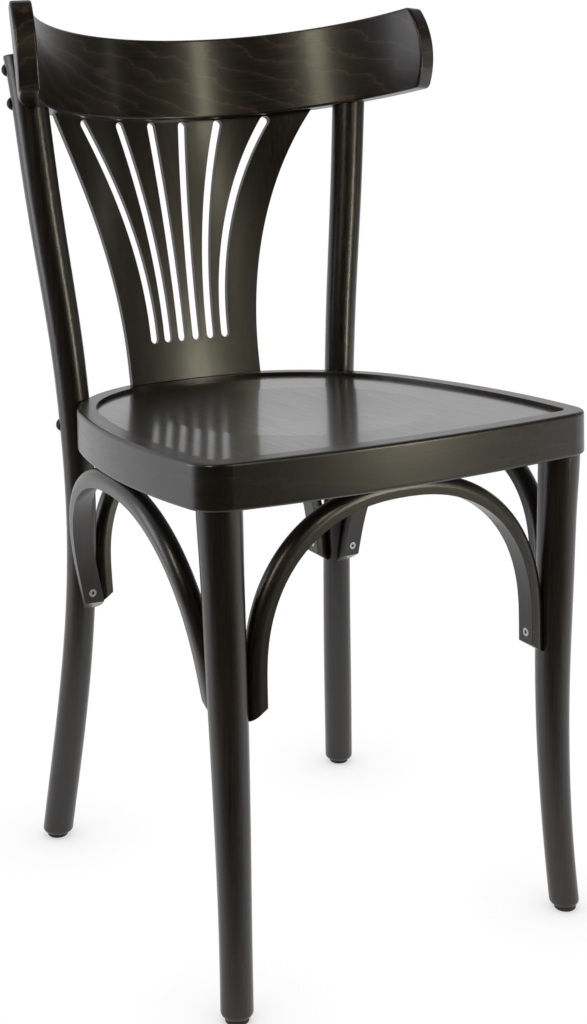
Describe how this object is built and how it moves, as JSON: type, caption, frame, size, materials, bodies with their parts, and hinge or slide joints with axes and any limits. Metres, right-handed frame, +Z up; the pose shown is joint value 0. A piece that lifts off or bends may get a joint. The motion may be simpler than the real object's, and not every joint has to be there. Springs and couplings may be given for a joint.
{
  "type": "bentwood bistro chair",
  "caption": "Dark stained bentwood dining chair with a curved crest rail, slotted fan splat, bent seat ring with a plywood panel, and bracket arches between round sabre legs.",
  "frame": {"origin": "on the floor, under the middle of the chair's outer box", "axes": "+Z up, the sitter faces -Y, +X to the right as seen from the front"},
  "size_m": [0.4608, 0.4971, 0.8329],
  "materials": {
    "stained_beech": "wenge-stained beech under satin lacquer",
    "stained_plywood": "wenge-stained beech plywood under satin lacquer",
    "dark_bolt_steel": "blackened steel, domed",
    "bright_steel": "zinc plated steel",
    "zinc_steel": "zinc plated steel",
    "insert_brass": "turned brass",
    "black_nylon": "moulded black nylon"
  },
  "bodies": {
    "root": {"left_front_leg": "stained_beech", "right_front_leg": "stained_beech", "left_back_leg": "stained_beech", "right_back_leg": "stained_beech", "seat_ring": "stained_beech", "seat_panel": "stained_plywood", "crest_rail": "stained_beech", "fan_splat": "stained_plywood", "front_arch": "stained_beech", "back_arch": "stained_beech", "left_arch": "stained_beech", "right_arch": "stained_beech", "rail_bolts": "dark_bolt_steel", "rail_inserts": "insert_brass", "back_leg_bolts": "dark_bolt_steel", "back_leg_washers": "zinc_steel", "back_leg_nuts": "zinc_steel", "arch_end_screws": "bright_steel", "arch_crown_screws": "bright_steel", "glide_pads": "black_nylon", "glide_nails": "zinc_steel"}
  },
  "joints": []
}
